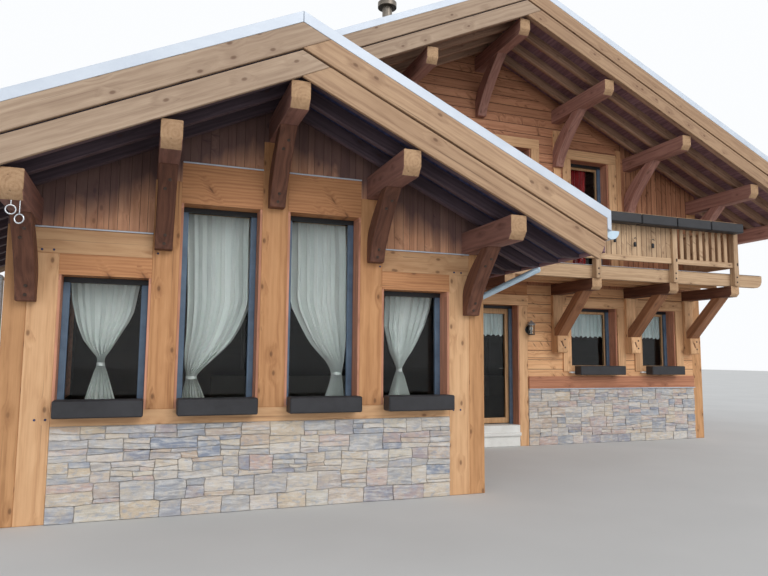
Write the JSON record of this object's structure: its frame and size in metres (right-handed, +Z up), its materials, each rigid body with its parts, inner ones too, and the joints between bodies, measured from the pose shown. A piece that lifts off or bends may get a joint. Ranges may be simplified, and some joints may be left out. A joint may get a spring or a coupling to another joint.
{
  "type": "alpine chalet",
  "caption": "Timber alpine chalet with a gabled front bay on a stone base, a taller gabled house behind it and a bracketed balcony.",
  "frame": {"origin": "on the ground, in the plane of the house front and below the ridge of the front bay", "axes": "+X to the right along the front, +Y from the front into the house, +Z up"},
  "size_m": [14.932, 14.964, 8.54],
  "materials": {
    "larch": "oiled",
    "stained_wood": "oiled",
    "stone": "rough stone",
    "floor_screed": "matt",
    "window_wood": "oiled",
    "glazing": "clear",
    "zinc": "satin",
    "roof_tiles": "matt",
    "white_stone": "matt",
    "anthracite": "satin"
  },
  "bodies": {
    "root": {"bay_floor": "floor_screed", "house_floor": "floor_screed", "upper_floor": "larch", "gable_stone": "stone", "side_stone": "stone", "sill_beam": "larch", "corner_posts": "larch", "jamb_posts": "larch", "window_posts": "larch", "lintels": "larch", "bay_rails": "larch", "bay_gable_boards": "larch", "front_walls": "larch", "house_gable": "larch", "side_walls": "larch", "back_walls": "larch", "casings": "larch", "skirt_boards": "stained_wood", "drip_strips": "zinc", "window_frames": "window_wood", "window_glass": "glazing", "shutter_boxes": "anthracite", "window_sills": "white_stone", "purlins": "larch", "eave_arms": "larch", "braces": "stained_wood", "rafters": "stained_wood", "soffit": "stained_wood", "roof_panels": "larch", "roof_covering": "roof_tiles", "verge_boards": "larch", "eave_boards": "stained_wood", "verge_metal": "zinc", "gutters": "zinc", "downpipes": "zinc", "door_frame": "larch", "door_threshold": "white_stone", "balcony_beams": "larch", "balcony_brackets": "larch", "balcony_braces": "stained_wood", "balcony_rim": "larch", "balcony_deck": "larch", "balcony_posts": "larch", "balcony_rails": "larch", "balcony_infill": "larch", "flower_boxes": "anthracite", "wall_lamp": "anthracite", "flue": "anthracite"},
    "terrace_door": {"terrace_door": "larch", "terrace_door_glass": "glazing"}
  },
  "joints": [
    {"name": "terrace_door_hinge", "type": "hinge", "parent": "root", "child": "terrace_door", "pos_m": [4.297, 0.328, 0.4], "axis": [0, 0, 1], "range_deg": [0, 100]}
  ]
}
